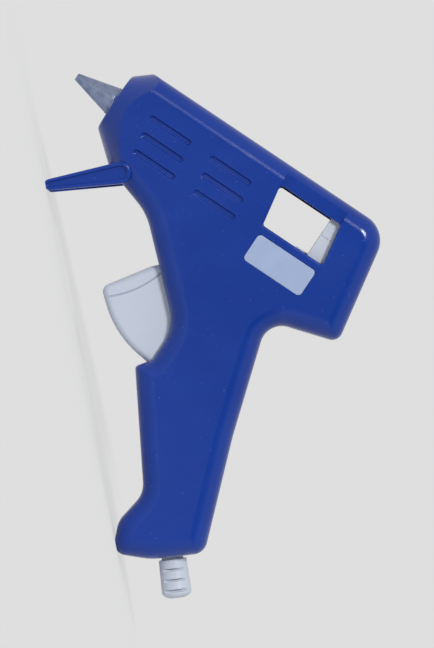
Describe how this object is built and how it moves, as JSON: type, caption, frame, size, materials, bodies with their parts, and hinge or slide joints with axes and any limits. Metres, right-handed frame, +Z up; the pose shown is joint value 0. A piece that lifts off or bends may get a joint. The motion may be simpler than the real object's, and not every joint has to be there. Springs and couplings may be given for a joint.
{
  "type": "hot_glue_gun",
  "caption": "Small blue hot-glue gun with a moulded two-part housing, metal nozzle, off-white trigger, linked stick feed and stand legs.",
  "frame": {"origin": "On the bench under the middle of the gun's length, in its plane of symmetry.", "axes": "+X from the nozzle towards the cord end, +Y across the two half-shells towards the screw-head side, +Z up."},
  "size_m": [0.1722, 0.03, 0.1021],
  "materials": {
    "blue_plastic": "satin moulded blue",
    "white_plastic": "satin moulded off-white",
    "nozzle_metal": "bare turned metal",
    "spring_steel": "bright steel",
    "chamber_alloy": "as cast",
    "collar_board": "heat-proof moulding",
    "ceramic": "dark ceramic",
    "copper_plate": "bright copper alloy",
    "film": "amber film",
    "silicone": "red silicone",
    "dark_plastic": "black moulding",
    "lead_sleeve": "red lead insulation"
  },
  "bodies": {
    "housing": {"left_housing": "blue_plastic", "right_housing": "blue_plastic", "housing_screws": "spring_steel", "nozzle": "nozzle_metal", "check_spring": "spring_steel", "melt_chamber": "chamber_alloy", "front_collar": "collar_board", "ptc_heater": "ceramic", "upper_electrode": "copper_plate", "lower_electrode": "copper_plate", "heater_film": "film", "inlet_sleeve": "silicone", "sleeve_clip": "spring_steel", "trigger_pin": "spring_steel", "lever_pin": "spring_steel", "return_spring": "spring_steel", "strain_relief": "white_plastic", "cord_clamp": "dark_plastic", "clamp_screws": "spring_steel", "lead_wires": "lead_sleeve", "wire_crimps": "copper_plate"},
    "trigger": {"trigger": "white_plastic"},
    "feed_lever": {"feed_lever": "dark_plastic"},
    "carriage": {"feed_carriage": "white_plastic", "stick_gripper": "spring_steel"},
    "check_ball": {"check_ball": "spring_steel"}
  },
  "joints": [
    {"name": "trigger_pull", "type": "hinge", "parent": "housing", "child": "trigger", "pos_m": [0.01062, 0, 0.02702], "axis": [0, 1, 0], "range_deg": [0, 20], "stiffness_Nm_per_rad": 0.1, "springref_deg": -17.19, "deforming": ["return_spring"]},
    {"name": "lever_swing", "type": "hinge", "parent": "housing", "child": "feed_lever", "pos_m": [-0.00491, 0, 0.05977], "axis": [0, 1, 0], "range_deg": [-38, 0]},
    {"name": "carriage_slide", "type": "slide", "parent": "housing", "child": "carriage", "axis": [-0.7045, 0, -0.7098], "range_m": [0, 0.01007]},
    {"name": "ball_lift", "type": "slide", "parent": "housing", "child": "check_ball", "axis": [-0.7045, 0, -0.7098], "range_m": [0, 0.001], "stiffness_N_per_m": 20, "springref_m": -0.0005, "deforming": ["check_spring"]}
  ],
  "couplings": [
    {"joint": "trigger_pull", "follows": "carriage_slide", "rad_per_m": 34.654},
    {"joint": "lever_swing", "follows": "carriage_slide", "rad_per_m": -65.709}
  ]
}
